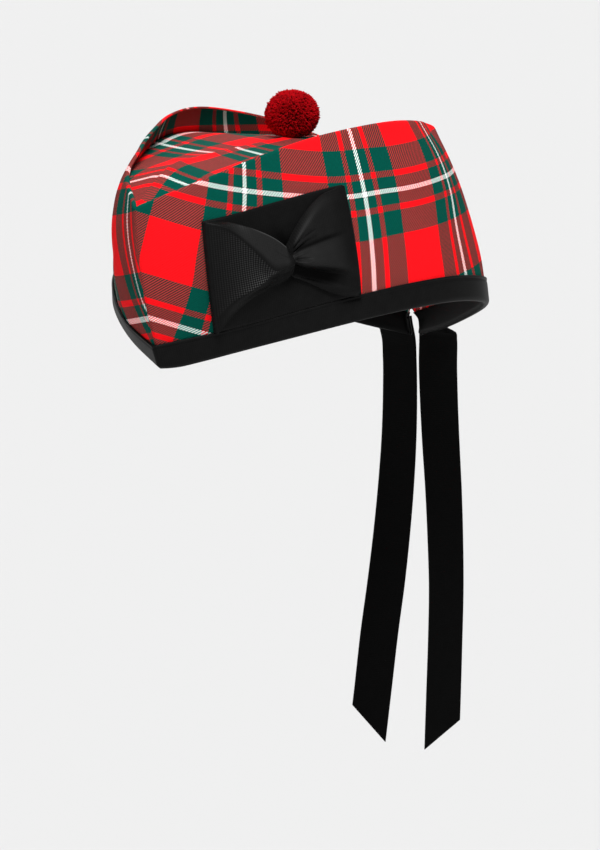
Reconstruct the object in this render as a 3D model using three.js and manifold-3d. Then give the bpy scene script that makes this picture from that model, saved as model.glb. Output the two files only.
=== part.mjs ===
// A glengarry: two wool side panels, a sunken crown, a black ribbon binding, a toorie,
// a ribbon bow on the wearer's left and two ribbon tails at the back.
// Millimetres. Z is up, the front faces -Y and the wearer's left is +X.
// The origin is the middle of the head opening, level with the lowest point of the front.
import * as THREE from 'three';
import Module from 'manifold-3d';

// Cloth and ribbon
const WOOL = 1.6;
const RIBBON = 1.0;
const GAP = 0.3;
const BOW_GAP = 0.45;

// Binding and back slit
const BAND_HEIGHT = 10.8;
const SLIT_HEIGHT = 16;
const SLIT_HALF_WIDTH = 2.5;

// Side panels: length round one side, and the forward curve of the front seam
const SIDE_LENGTH = 292;
const FRONT_CURVE = 4.8;
const FRONT_REACH = 0.16;

// Evenly spaced sections of one side, from the front seam to the back seam.
// rim: lower edge. ridge: upper edge. full: how far the panel swells between them.
// well: depth of the crown's seam below the ridge. crest: height of the crown along its middle.
const COLUMNS = ['rimX', 'rimY', 'rimZ', 'ridgeX', 'ridgeY', 'ridgeZ', 'full', 'well', 'crest'];
const SECTIONS = [
  [0, -115, 0, 0, -137, 72, 0, 0, 72],
  [23, -96, 6, 21, -111, 83, 4.6, 3, 86],
  [43.5, -75, 12, 31, -80, 90, 5.4, 7.5, 87.5],
  [61, -52, 17, 39, -53, 94.5, 5, 10, 87.7],
  [74, -26, 20, 47, -26, 97, 4.4, 11, 87.5],
  [80.5, 2, 20, 51, 2, 97, 4, 11.5, 87],
  [79, 31, 16, 50, 31, 93, 3.8, 11.5, 83.5],
  [66, 57.5, 9, 39.5, 57.5, 86, 3.4, 11, 77],
  [46, 79, 0, 24, 78, 76, 3, 9, 69],
  [24, 97, -9, 11, 95, 66, 2.2, 5, 62],
  [0, 115, -17, 0, 111, 58, 0, 0, 56],
].map((row) => Object.fromEntries(COLUMNS.map((name, i) => [name, row[i]])));

// Steps of the faceted cloth
const SIDE_STEPS = 36;
const SIDE_ROWS = 8;
const CROWN_COLUMNS = 10;

// Toorie
const TOORIE = { y: 0.5, centreZ: 96.6, width: 24.4, height: 22.4, baseZ: 87.5, locks: 60, lockRadius: 2.6 };

// Bow: share of its middle along the side, height of its middle above the rim
const BOW = { share: 0.2, middle: 35.2, halfLength: 34, halfHeight: 23.6, pinchDrop: 2 };
const WING = { start: 0.5, pinchHalf: 4, fullness: 5, foldRadius: 1, gather: 0.6, gathers: 3 };

// Tails: fall is measured down from the rim's back point
const TAIL = { width: 18.4, innerEdge: 1.2, length: 190, cut: 16 };
const TAIL_ROWS = [
  { fall: -9, turn: 34, leftSway: 0, rightSway: 0 },
  { fall: -5, turn: 12, leftSway: 0, rightSway: 0 },
  { fall: 0, turn: -4, leftSway: 0, rightSway: 0 },
  { fall: 12, turn: -7, leftSway: 0.5, rightSway: 0 },
  { fall: 26, turn: -6, leftSway: 1, rightSway: 0.3 },
  { fall: 48, turn: -4, leftSway: 2.5, rightSway: 0.2 },
  { fall: 70, turn: -1, leftSway: 4, rightSway: -0.8 },
  { fall: 93, turn: 2, leftSway: 5, rightSway: -2.8 },
  { fall: 115, turn: 5, leftSway: 5.4, rightSway: -5.6 },
  { fall: 138, turn: 6, leftSway: 5, rightSway: -9.2 },
  { fall: 165, turn: 5, leftSway: 3.8, rightSway: -13.3 },
];

// ---- Curves through the sections ----

// Value of one column at a share of the way round (0 front, 1 back), on a smooth curve through the rows.
function column(name, share) {
  const last = SECTIONS.length - 1;
  const place = Math.min(Math.max(share, 0), 1) * last;
  const row = Math.min(Math.floor(place), last - 1);
  const f = place - row;
  const value = (i) => {
    if (i < 0) return 2 * SECTIONS[0][name] - SECTIONS[1][name];
    if (i > last) return 2 * SECTIONS[last][name] - SECTIONS[last - 1][name];
    return SECTIONS[i][name];
  };
  const [a, b, c, d] = [value(row - 1), value(row), value(row + 1), value(row + 2)];
  const slopeIn = (c - a) / 2;
  const slopeOut = (d - b) / 2;
  const f2 = f * f;
  const f3 = f2 * f;
  return (2 * f3 - 3 * f2 + 1) * b + (f3 - 2 * f2 + f) * slopeIn
    + (3 * f2 - 2 * f3) * c + (f3 - f2) * slopeOut;
}

const panelHeight = (share) => column('ridgeZ', share) - column('rimZ', share);

// Half of the slit's width at a height above the rim; above the slit only the seam's gap is left.
function seamHalf(share, height) {
  if (share < 0.9) return GAP / 2;
  return GAP / 2 + SLIT_HALF_WIDTH * Math.max(0, 1 - height / SLIT_HEIGHT);
}

// Outer face of the left panel, straight from rim to ridge, before it is filled out.
function straightSide(share, up) {
  return new THREE.Vector3(
    THREE.MathUtils.lerp(column('rimX', share), column('ridgeX', share), up),
    THREE.MathUtils.lerp(column('rimY', share), column('ridgeY', share), up),
    THREE.MathUtils.lerp(column('rimZ', share), column('ridgeZ', share), up),
  );
}

// Level direction out of the panel. At the two seams it is mitred to lie in the middle plane.
function outward(share) {
  const step = 0.01;
  const after = straightSide(Math.min(share + step, 1), 0.4);
  const before = straightSide(Math.max(share - step, 0), 0.4);
  const along = after.sub(before).setZ(0).normalize();
  if (share === 0 || share === 1) return new THREE.Vector3(0, -1 / along.x, 0);
  return new THREE.Vector3(along.y, -along.x, 0);
}

// Outer face of the left panel at a share and a height above the rim, moved out by an offset.
function onSide(share, height, offset = 0) {
  const up = height / panelHeight(share);
  const arch = 4 * up * (1 - up);
  const point = straightSide(share, up);
  const out = outward(share);
  point.addScaledVector(out, column('full', share) * arch + offset);
  point.y -= FRONT_CURVE * arch * Math.exp(-((share / FRONT_REACH) ** 2));
  point.x = Math.max(point.x, seamHalf(share, height));
  return point;
}

// The same point on the wearer's right.
const mirrored = (point) => new THREE.Vector3(-point.x, point.y, point.z);
const mirroredGrid = (grid) => grid.map((row) => row.map(mirrored));

// Evenly spaced values from first to last.
function steps(first, last, count) {
  return Array.from({ length: count + 1 }, (_, i) => first + (last - first) * i / count);
}

// ---- Solids ----

// A closed wall between two grids of points: both faces and the four edges.
// Each patch is split along its shorter diagonal, so that mirrored walls match.
function wall(face, back) {
  const rows = face.length;
  const columns = face[0].length;
  const last = rows - 1;
  const end = columns - 1;
  const points = [...face.flat(), ...back.flat()];
  const faceAt = (i, j) => i * columns + j;
  const backAt = (i, j) => rows * columns + i * columns + j;
  const triangles = [];
  const apart = (a, b) => points[a].distanceTo(points[b]);
  const quad = (a, b, c, d) => {
    if (apart(a, c) <= apart(b, d)) triangles.push(a, b, c, a, c, d);
    else triangles.push(a, b, d, b, c, d);
  };
  for (let i = 0; i < rows - 1; i += 1) {
    for (let j = 0; j < columns - 1; j += 1) {
      quad(faceAt(i, j), faceAt(i + 1, j), faceAt(i + 1, j + 1), faceAt(i, j + 1));
      quad(backAt(i, j), backAt(i, j + 1), backAt(i + 1, j + 1), backAt(i + 1, j));
    }
    quad(faceAt(i, 0), backAt(i, 0), backAt(i + 1, 0), faceAt(i + 1, 0));
    quad(faceAt(i, end), faceAt(i + 1, end), backAt(i + 1, end), backAt(i, end));
  }
  for (let j = 0; j < columns - 1; j += 1) {
    quad(faceAt(0, j), faceAt(0, j + 1), backAt(0, j + 1), backAt(0, j));
    quad(faceAt(last, j), backAt(last, j), backAt(last, j + 1), faceAt(last, j + 1));
  }
  return closedGeometry(points, triangles);
}

// Six times the volume inside the triangles; negative when they face inwards.
function signedVolume(points, triangles) {
  let sum = 0;
  for (let k = 0; k < triangles.length; k += 3) {
    const [a, b, c] = [0, 1, 2].map((n) => points[triangles[k + n]]);
    sum += a.dot(b.clone().cross(c));
  }
  return sum;
}

function closedGeometry(points, triangles) {
  const facing = signedVolume(points, triangles) > 0 ? triangles : [...triangles].reverse();
  const geometry = new THREE.BufferGeometry();
  geometry.setAttribute('position', new THREE.Float32BufferAttribute(points.flatMap((p) => p.toArray()), 3));
  geometry.setIndex(facing);
  geometry.computeVertexNormals();
  return geometry;
}

// ---- Side panels, binding and crown ----

// One panel: a grid of stations by rows, its bottom edge held in the fold of the binding.
function sideGrid(offset) {
  return steps(0, 1, SIDE_STEPS).map((share) => {
    const bottom = RIBBON + GAP;
    return steps(bottom, panelHeight(share), SIDE_ROWS).map((height) => onSide(share, height, offset));
  });
}

// The binding's fold in one station: down the outside, under the edge and up the inside.
function bandStation(share) {
  const outside = RIBBON + GAP;
  const inside = -(WOOL + GAP + RIBBON);
  const skin = [
    onSide(share, BAND_HEIGHT, outside),
    onSide(share, 0, outside),
    onSide(share, 0, inside),
    onSide(share, BAND_HEIGHT, inside),
  ];
  const slot = [
    onSide(share, BAND_HEIGHT, GAP),
    onSide(share, RIBBON, GAP),
    onSide(share, RIBBON, -(WOOL + GAP)),
    onSide(share, BAND_HEIGHT, -(WOOL + GAP)),
  ];
  return { skin, slot };
}

// One ribbon round the whole edge, from the slit on the right, past the front, to the slit on the left.
function bandGeometry() {
  const stations = steps(0, 1, SIDE_STEPS).map(bandStation);
  const round = (part) => {
    const front = stations[0][part].map((p) => new THREE.Vector3(0, p.y, p.z));
    const left = stations.slice(1).map((station) => station[part]);
    return [...mirroredGrid(left).reverse(), front, ...left];
  };
  return wall(round('skin'), round('slot'));
}

// The seam of the crown on the left panel's inner face.
function crownEdge(share) {
  const height = panelHeight(share) - column('well', share);
  return onSide(share, height, -(WOOL + GAP));
}

// Height of the crown's top face; across runs from -1 to 1 between the two seams.
function crownHeight(share, across) {
  const seam = crownEdge(share).z;
  const crest = column('crest', share);
  return seam + (crest - seam) * (1 - Math.abs(across) ** 0.8);
}

function crownGrid(drop) {
  return steps(0, 1, SIDE_STEPS).map((share) => {
    const edge = crownEdge(share);
    return steps(-1, 1, CROWN_COLUMNS).map((across) => (
      new THREE.Vector3(across * edge.x, edge.y, crownHeight(share, across) - drop)
    ));
  });
}

// ---- Toorie ----

const wasm = await Module();
wasm.setup();

// A three.js solid as a manifold, with its doubled vertices joined.
function asManifold(geometry) {
  const position = geometry.getAttribute('position');
  const index = geometry.getIndex();
  const found = new Map();
  const vertices = [];
  const joined = [];
  for (let i = 0; i < position.count; i += 1) {
    const p = [position.getX(i), position.getY(i), position.getZ(i)];
    const key = p.map((v) => Math.round(v * 1e4)).join(' ');
    if (!found.has(key)) {
      found.set(key, vertices.length / 3);
      vertices.push(...p);
    }
    joined.push(found.get(key));
  }
  const triangles = [];
  for (let k = 0; k < index.count; k += 3) {
    const t = [0, 1, 2].map((n) => joined[index.getX(k + n)]);
    if (new Set(t).size === 3) triangles.push(...t);
  }
  return new wasm.Manifold(new wasm.Mesh({
    numProp: 3,
    vertProperties: new Float32Array(vertices),
    triVerts: new Uint32Array(triangles),
  }));
}

// Directions spread evenly over a ball, on a spiral.
function spreadDirections(count) {
  const golden = Math.PI * (3 - Math.sqrt(5));
  return Array.from({ length: count }, (_, i) => {
    const z = 1 - (2 * i + 1) / count;
    const r = Math.sqrt(1 - z * z);
    return new THREE.Vector3(r * Math.cos(golden * i), r * Math.sin(golden * i), z);
  });
}

// A core with short blunt locks of yarn fused to it, flat where it is sewn to the crown.
function toorieGeometry() {
  const centre = new THREE.Vector3(0, TOORIE.y, TOORIE.centreZ);
  const radius = TOORIE.width / 2;
  const flatten = TOORIE.height / TOORIE.width;
  const core = new THREE.SphereGeometry(radius * 0.84, 14, 8);
  core.scale(1, 1, flatten);
  core.translate(...centre.toArray());
  let ball = asManifold(core);
  spreadDirections(TOORIE.locks).forEach((direction, i) => {
    const lock = new THREE.SphereGeometry(TOORIE.lockRadius, 5, 4);
    lock.scale(1, 1.5, 1);
    lock.translate(0, radius * (1 + 0.02 * Math.sin(i * 2.4)) - 1.5 * TOORIE.lockRadius, 0);
    lock.applyQuaternion(new THREE.Quaternion().setFromUnitVectors(new THREE.Vector3(0, 1, 0), direction));
    lock.scale(1, 1, flatten);
    lock.translate(...centre.toArray());
    ball = ball.add(asManifold(lock));
  });
  const below = new THREE.BoxGeometry(2 * TOORIE.width, 2 * TOORIE.width, TOORIE.width);
  below.translate(0, TOORIE.y, TOORIE.baseZ - TOORIE.width / 2);
  const mesh = ball.subtract(asManifold(below)).getMesh();
  const geometry = new THREE.BufferGeometry();
  geometry.setAttribute('position', new THREE.Float32BufferAttribute(mesh.vertProperties, 3));
  geometry.setIndex(Array.from(mesh.triVerts));
  geometry.computeVertexNormals();
  return geometry;
}

// ---- Bow ----

// A point over the left panel: along and height from the bow's middle, lifted off the wool.
function onBow(along, height, lift) {
  return onSide(BOW.share + along / SIDE_LENGTH, BOW.middle + height, lift);
}

function backingGrid(lift) {
  return steps(-BOW.halfLength, BOW.halfLength, 10).map((along) => (
    steps(-BOW.halfHeight, BOW.halfHeight, 6).map((height) => onBow(along, height, lift))
  ));
}

// The line of a wing's ribbon, seen from its edge: out over the front, round the end and back.
// away runs from the pinch (0) to the outer end (1).
function wingLine() {
  const backLift = 2 * BOW_GAP + 1.5 * RIBBON;
  const frontLift = backLift + 2 * WING.foldRadius;
  const front = steps(0, 1, 9).map((away) => ({
    away,
    lift: frontLift + WING.fullness * Math.sin(Math.PI * away ** 0.8),
    loose: 1 - away,
  }));
  const fold = steps(-60, 60, 2).map((angle) => {
    const turn = THREE.MathUtils.degToRad(angle);
    const reach = WING.foldRadius * Math.cos(turn);
    return { away: 1, beyond: reach, lift: backLift + WING.foldRadius * (1 - Math.sin(turn)), loose: 0 };
  });
  const back = steps(1, 0, 5).map((away) => ({ away, lift: backLift, loose: 0 }));
  return [...front, ...fold, ...back];
}

// One wing; side is -1 for the wing towards the front and 1 for the one towards the back.
function wingGeometry(side) {
  const line = wingLine();
  const reach = BOW.halfLength - WING.start - WING.foldRadius - RIBBON / 2;
  const distance = (p) => WING.start + reach * p.away + (p.beyond ?? 0);
  const normals = line.map((p, i) => {
    const next = line[Math.min(i + 1, line.length - 1)];
    const before = line[Math.max(i - 1, 0)];
    const run = new THREE.Vector2(distance(next) - distance(before), next.lift - before.lift).normalize();
    return new THREE.Vector2(-run.y, run.x);
  });
  const grid = (offset) => line.map((p, i) => {
    const half = THREE.MathUtils.lerp(WING.pinchHalf, BOW.halfHeight - 0.4, p.away ** 0.9);
    const middle = -BOW.pinchDrop * (1 - p.away);
    const along = distance(p) + normals[i].x * offset;
    return steps(-1, 1, 12).map((across) => {
      const gather = WING.gather * p.loose * Math.cos(Math.PI * WING.gathers * across);
      return onBow(side * along, middle + half * across, p.lift + gather + normals[i].y * offset);
    });
  });
  return wall(grid(RIBBON / 2), grid(-RIBBON / 2));
}

// ---- Tails ----

// One row across a tail. Its inner edge hangs beside the back seam, turn swings the outer
// edge forward, and rise lifts it for the slanted cut.
function tailRow(centreY, row, sway, rise, faceShift) {
  const angle = THREE.MathUtils.degToRad(row.turn);
  return steps(0, 1, 4).map((part) => {
    const reach = TAIL.width * part;
    return new THREE.Vector3(
      TAIL.innerEdge + sway + reach * Math.cos(angle) + faceShift * Math.sin(angle),
      centreY - reach * Math.sin(angle) + faceShift * Math.cos(angle),
      column('rimZ', 1) - row.fall + rise * part,
    );
  });
}

function tailGeometry(side) {
  const centreY = onSide(1, 0, RIBBON + 2 * GAP + RIBBON / 2).y;
  const sway = (row) => (side > 0 ? row.leftSway : -row.rightSway);
  const last = TAIL_ROWS[TAIL_ROWS.length - 1];
  const tip = { ...last, fall: TAIL.length };
  const grid = (faceShift) => [
    ...TAIL_ROWS.map((row) => tailRow(centreY, row, sway(row), 0, faceShift)),
    tailRow(centreY, tip, sway(tip), TAIL.cut, faceShift),
  ];
  const face = grid(RIBBON / 2);
  const back = grid(-RIBBON / 2);
  return side > 0 ? wall(face, back) : wall(mirroredGrid(face), mirroredGrid(back));
}

// ---- Materials and assembly ----

const wool = () => new THREE.MeshStandardMaterial({ color: 0xc8202c, roughness: 0.85, metalness: 0 });
const crownWool = () => new THREE.MeshStandardMaterial({ color: 0xb83238, roughness: 0.85, metalness: 0 });
const ribbon = () => new THREE.MeshStandardMaterial({ color: 0x141414, roughness: 0.6, metalness: 0 });
const yarn = () => new THREE.MeshStandardMaterial({ color: 0xd01020, roughness: 0.95, metalness: 0 });

const glengarry = new THREE.Group();
glengarry.name = 'glengarry';

function addPiece(name, geometry, material) {
  const mesh = new THREE.Mesh(geometry, material);
  mesh.name = name;
  glengarry.add(mesh);
}

const outerGrid = sideGrid(0);
const innerGrid = sideGrid(-WOOL);
addPiece('side_left', wall(outerGrid, innerGrid), wool());
addPiece('side_right', wall(mirroredGrid(outerGrid), mirroredGrid(innerGrid)), wool());
addPiece('crown', wall(crownGrid(0), crownGrid(WOOL)), crownWool());
addPiece('band', bandGeometry(), ribbon());
addPiece('toorie', toorieGeometry(), yarn());
addPiece('bow_backing', wall(backingGrid(BOW_GAP + RIBBON), backingGrid(BOW_GAP)), ribbon());
addPiece('bow_wing_front', wingGeometry(-1), ribbon());
addPiece('bow_wing_back', wingGeometry(1), ribbon());
addPiece('ribbon_left', tailGeometry(1), ribbon());
addPiece('ribbon_right', tailGeometry(-1), ribbon());

export default glengarry;
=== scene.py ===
import math
import bpy
import numpy as np
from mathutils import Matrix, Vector


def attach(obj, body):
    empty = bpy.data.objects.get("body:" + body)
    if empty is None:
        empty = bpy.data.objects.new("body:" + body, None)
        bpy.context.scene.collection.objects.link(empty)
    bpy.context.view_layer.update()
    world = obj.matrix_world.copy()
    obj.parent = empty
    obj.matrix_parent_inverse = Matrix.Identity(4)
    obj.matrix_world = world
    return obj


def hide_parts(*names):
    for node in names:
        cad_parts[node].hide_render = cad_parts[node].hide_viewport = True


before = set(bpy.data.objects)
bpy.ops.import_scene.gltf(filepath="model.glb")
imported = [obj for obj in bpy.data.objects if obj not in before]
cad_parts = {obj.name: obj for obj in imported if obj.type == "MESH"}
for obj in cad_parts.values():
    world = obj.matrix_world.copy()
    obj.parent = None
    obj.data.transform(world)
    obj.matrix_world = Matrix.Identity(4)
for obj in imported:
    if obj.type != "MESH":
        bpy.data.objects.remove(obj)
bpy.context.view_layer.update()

# A glengarry: two tartan side panels, a sunken tartan crown, a black ribbon binding, a red
# toorie, a ribbon bow on the wearer's left and two ribbon tails at the back.
# Shapes are worked out in millimetres and made in metres. Z is up and the front faces -Y.
MM = 0.001

# Cloth and ribbon, as the solids have them
WOOL = 1.6
RIBBON = 1.0
GAP = 0.3
BOW_GAP = 0.45
BAND_HEIGHT = 10.8
SIDE_LENGTH = 292
FRONT_CURVE = 4.8
FRONT_REACH = 0.16

# Evenly spaced sections of one side, front seam to back seam
COLUMNS = ("rimX", "rimY", "rimZ", "ridgeX", "ridgeY", "ridgeZ", "full", "well", "crest")
SECTIONS = np.array((
    (0, -115, 0, 0, -137, 72, 0, 0, 72),
    (23, -96, 6, 21, -111, 83, 4.6, 3, 86),
    (43.5, -75, 12, 31, -80, 90, 5.4, 7.5, 87.5),
    (61, -52, 17, 39, -53, 94.5, 5, 10, 87.7),
    (74, -26, 20, 47, -26, 97, 4.4, 11, 87.5),
    (80.5, 2, 20, 51, 2, 97, 4, 11.5, 87),
    (79, 31, 16, 50, 31, 93, 3.8, 11.5, 83.5),
    (66, 57.5, 9, 39.5, 57.5, 86, 3.4, 11, 77),
    (46, 79, 0, 24, 78, 76, 3, 9, 69),
    (24, 97, -9, 11, 95, 66, 2.2, 5, 62),
    (0, 115, -17, 0, 111, 58, 0, 0, 56),
), float)

# Toorie: its middle, its size before the base is pressed flat, and the height of that base
TOORIE = dict(y=0.5, centreZ=96.6, width=24.4, height=22.4, baseZ=87.5)
TUFTS = 620
STRANDS = 8000

# Bow: where its middle lies on the side, and its corners, along and up from that middle
BOW = dict(share=0.2, middle=35.2, halfLength=34, halfHeight=23.6)
BOW_CORNERS = dict(front_top=(-33.8, 24.8), front_low=(-34.6, -24.3),
                   back_top=(36, 21.5), back_low=(31.2, -24.3))
WING_REACH = 33

# How thick each piece of cloth is made
THICK = dict(crown=1.3, band=0.85, backing=0.7, wing=0.6, tail=0.7)

# Tails: longer is how much more the left one falls
TAIL = dict(width=18.4, innerEdge=1.2, length=190, cut=16, longer=1.5)
# fall below the rim's back point, turn of the ribbon, sway of the left and right tail
TAIL_ROWS = np.array((
    (-9, 34, 0, -1.6), (-5, 15, 0, -1.0), (-2.4, -3, 0, -0.5), (0, -5, 0, 0), (12, -7, -0.2, 0.8),
    (26, -6, 0.3, 1.1), (48, -4, 1.6, 0.8), (70, -1, 3.3, -0.4), (93, 2, 4.6, -2.4), (115, 5, 5.4, -4.9),
    (138, 6, 5.1, -8.2), (165, 5, 4.2, -11.6),
), float)

# The tartan: one repeat, and how far each stripe reaches from the middle of the white line
SETT = 67.8
WHITE_HALF = 1.15
DARK_EDGE = 1.5
INNER_GREEN = 6.4
THIN_RED = 9.4
OUTER_GREEN = 20.5
THREAD = 0.36

# Colours in linear light
CLOTH_RED = (1.0, 0.007, 0.012)
CLOTH_GREEN = (0.0004, 0.074, 0.053)
CLOTH_WHITE = (0.98, 0.96, 0.94)
CLOTH_DARK = (0.012, 0.012, 0.010)
RIBBON_BLACK = (0.0058, 0.0058, 0.0058)
# the tails' black, darker than the ribbon's as painted shade
SHADED_TAIL_BLACK = (0.0018, 0.0018, 0.0018)
# painted shade deep in the ball, and the yarn's colour at its clipped tips
YARN_PAINTED_SHADE = (0.075, 0.0005, 0.0014)
YARN_TIP = (0.46, 0.0026, 0.006)
YARN_RED = (0.4, 0.003, 0.007)
FLOOR_GREY = (0.605, 0.605, 0.605)

# Camera: degrees round from the front and up, distance from the pivot, and how far to the
# right and up of the pivot it aims
CAMERA = dict(turn=28.95, tilt=7.82, distance=3124, right=3.7, up=-89.7, lens=427.4)
CAMERA_PIVOT = (0, 0, 50)
ROOM_LIGHT = 0.13
# metres up
FLOOR_LEVEL = -0.62


# ---- Camera, floor and light ----

def camera():
    turn, tilt = math.radians(CAMERA["turn"]), math.radians(CAMERA["tilt"])
    right = Vector((math.cos(turn), math.sin(turn), 0))
    back = Vector((math.sin(turn) * math.cos(tilt), -math.cos(turn) * math.cos(tilt), math.sin(tilt)))
    up = back.cross(right)
    pivot = Vector(CAMERA_PIVOT)
    aim = pivot + right * CAMERA["right"] + up * CAMERA["up"]
    data = bpy.data.cameras.new("camera")
    data.sensor_fit = "HORIZONTAL"
    data.sensor_width = 36
    data.lens = CAMERA["lens"]
    data.clip_end = 200
    eye = bpy.data.objects.new("camera", data)
    bpy.context.collection.objects.link(eye)
    eye.location = (pivot + back * CAMERA["distance"]) * MM
    eye.rotation_euler = (eye.location - aim * MM).to_track_quat("Z", "Y").to_euler()
    bpy.context.scene.camera = eye


def studio():
    scene = bpy.context.scene
    scene.view_settings.view_transform = "Standard"
    scene.view_settings.look = "None"
    world = bpy.data.worlds.new("studio")
    world.use_nodes = True
    shade = world.node_tree.nodes["Background"]
    shade.inputs["Color"].default_value = (1, 1, 1, 1)
    shade.inputs["Strength"].default_value = ROOM_LIGHT
    scene.world = world

    def sun(name, toward, strength, spread):
        data = bpy.data.lights.new(name, "SUN")
        data.energy = strength
        data.angle = math.radians(spread)
        lamp = bpy.data.objects.new(name, data)
        bpy.context.collection.objects.link(lamp)
        lamp.rotation_euler = Vector(toward).normalized().to_track_quat("Z", "Y").to_euler()

    sun("key_light", (0.32, -0.51, 0.90), 4.1, 25)
    sun("back_light", (-0.35, 0.80, 0.55), 1.3, 50)

    bpy.ops.mesh.primitive_circle_add(vertices=96, radius=40, fill_type="NGON", location=(0, 0, FLOOR_LEVEL))
    floor = bpy.context.object
    floor.name = "floor"
    floor.data.materials.append(material("floor_paper", FLOOR_GREY, 0.95)[0])


# ---- Materials ----

def material(name, colour, rough):
    made = bpy.data.materials.new(name)
    made.use_nodes = True
    tree = made.node_tree
    skin = tree.nodes["Principled BSDF"]
    skin.inputs["Base Color"].default_value = (*colour, 1)
    skin.inputs["Roughness"].default_value = rough
    skin.inputs["Specular IOR Level"].default_value = 0.04
    return made, tree.nodes, tree.links.new


def knot(nodes, kind, **settings):
    node = nodes.new(kind)
    for key, value in settings.items():
        setattr(node, key, value)
    return node


def sums(nodes, link):
    # short names for the arithmetic that the weaves use
    def do(operation, *values):
        node = knot(nodes, "ShaderNodeMath", operation=operation)
        for socket, value in zip(node.inputs, values):
            if isinstance(value, (int, float)):
                socket.default_value = value
            else:
                link(value, socket)
        return node.outputs[0]
    return do


def cloth_place(nodes, link):
    # the two lines of the cloth that pass through a point, in millimetres
    do = sums(nodes, link)
    weave = knot(nodes, "ShaderNodeUVMap", uv_map="cloth")
    parts = knot(nodes, "ShaderNodeSeparateXYZ")
    link(weave.outputs["UV"], parts.inputs[0])
    return do, do("MULTIPLY", parts.outputs[0], 1 / MM), do("MULTIPLY", parts.outputs[1], 1 / MM)


def unevenness(nodes, link, scale, detail=2):
    cloud = knot(nodes, "ShaderNodeTexNoise")
    cloud.inputs["Scale"].default_value = scale
    cloud.inputs["Detail"].default_value = detail
    place = knot(nodes, "ShaderNodeTexCoord")
    link(place.outputs["Object"], cloud.inputs["Vector"])
    return cloud.outputs["Fac"]


def relief(nodes, link, height, strength, depth):
    bump = knot(nodes, "ShaderNodeBump")
    bump.inputs["Strength"].default_value = strength
    bump.inputs["Distance"].default_value = depth * MM
    link(height, bump.inputs["Height"])
    link(bump.outputs["Normal"], nodes["Principled BSDF"].inputs["Normal"])


def tartan(name):
    # a two-over-two twill, thread by thread
    made, nodes, link = material(name, CLOTH_RED, 0.88)
    do, warp, weft = cloth_place(nodes, link)
    half = SETT / 2
    rows = ((0, CLOTH_WHITE), (WHITE_HALF, CLOTH_DARK), (DARK_EDGE, CLOTH_GREEN),
            (INNER_GREEN, CLOTH_RED), (THIN_RED, CLOTH_GREEN), (OUTER_GREEN, CLOTH_RED))

    def stripes(place):
        # stepped to whole threads, then folded about the white line
        stepped = do("MULTIPLY", do("ADD", do("FLOOR", do("DIVIDE", place, THREAD)), 0.5), THREAD)
        ramp = knot(nodes, "ShaderNodeValToRGB")
        ramp.color_ramp.interpolation = "CONSTANT"
        stops = ramp.color_ramp.elements
        for i, (start, colour) in enumerate(rows):
            stop = stops[i] if i < 2 else stops.new(0.5 + i * 0.01)
            stop.position = start / half
            stop.color = (*colour, 1)
        link(do("DIVIDE", do("PINGPONG", stepped, half), half), ramp.inputs[0])
        return ramp.outputs["Color"]

    warp_colour = stripes(warp)
    weft_colour = stripes(weft)
    step = do("SUBTRACT", do("FLOOR", do("DIVIDE", warp, THREAD)), do("FLOOR", do("DIVIDE", weft, THREAD)))
    over = do("LESS_THAN", do("FLOORED_MODULO", step, 4), 1.5)
    shown, hidden = [], []
    for pair, order in ((shown, (weft_colour, warp_colour)), (hidden, (warp_colour, weft_colour))):
        mix = knot(nodes, "ShaderNodeMix", data_type="RGBA")
        link(over, mix.inputs["Factor"])
        link(order[0], mix.inputs[6])
        link(order[1], mix.inputs[7])
        split = knot(nodes, "ShaderNodeSeparateColor")
        link(mix.outputs[2], split.inputs[0])
        pair += [mix.outputs[2], split.outputs[0], split.outputs[1]]
    # a thread is shaded by what crosses it, red by green and green by red, and green is lit
    # by the white beside it
    on_white = do("GREATER_THAN", hidden[2], 0.5)
    off_white = do("LESS_THAN", shown[2], 0.5)
    red_step = do("SUBTRACT", shown[1], hidden[1])
    red_over = do("MULTIPLY", do("GREATER_THAN", red_step, 0.5), off_white)
    green_over = do("MULTIPLY", do("LESS_THAN", red_step, -0.5), do("SUBTRACT", 1.0, on_white))
    green_by_white = do("MULTIPLY", on_white, do("LESS_THAN", shown[1], 0.5))
    deep = do("SUBTRACT", 1.0, do("MULTIPLY", red_over, 0.54))
    deep = do("MULTIPLY", deep, do("SUBTRACT", 1.0, do("MULTIPLY", green_over, 0.5)))
    deep = do("MULTIPLY", deep, do("MULTIPLY_ADD", green_by_white, 2.3, 1.0))
    # the wool's slight unevenness
    uneven = do("MULTIPLY_ADD", unevenness(nodes, link, 900, 3), 0.30, 0.85)
    dim = knot(nodes, "ShaderNodeHueSaturation")
    link(do("MULTIPLY", uneven, deep), dim.inputs["Value"])
    link(do("MULTIPLY_ADD", red_over, -0.07, 1.0), dim.inputs["Saturation"])
    link(shown[0], dim.inputs["Color"])
    link(dim.outputs["Color"], nodes["Principled BSDF"].inputs["Base Color"])
    # raised diagonal of the twill
    relief(nodes, link, do("PINGPONG", do("DIVIDE", do("SUBTRACT", warp, weft), THREAD), 2), 0.35, 0.12)
    return made


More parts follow.
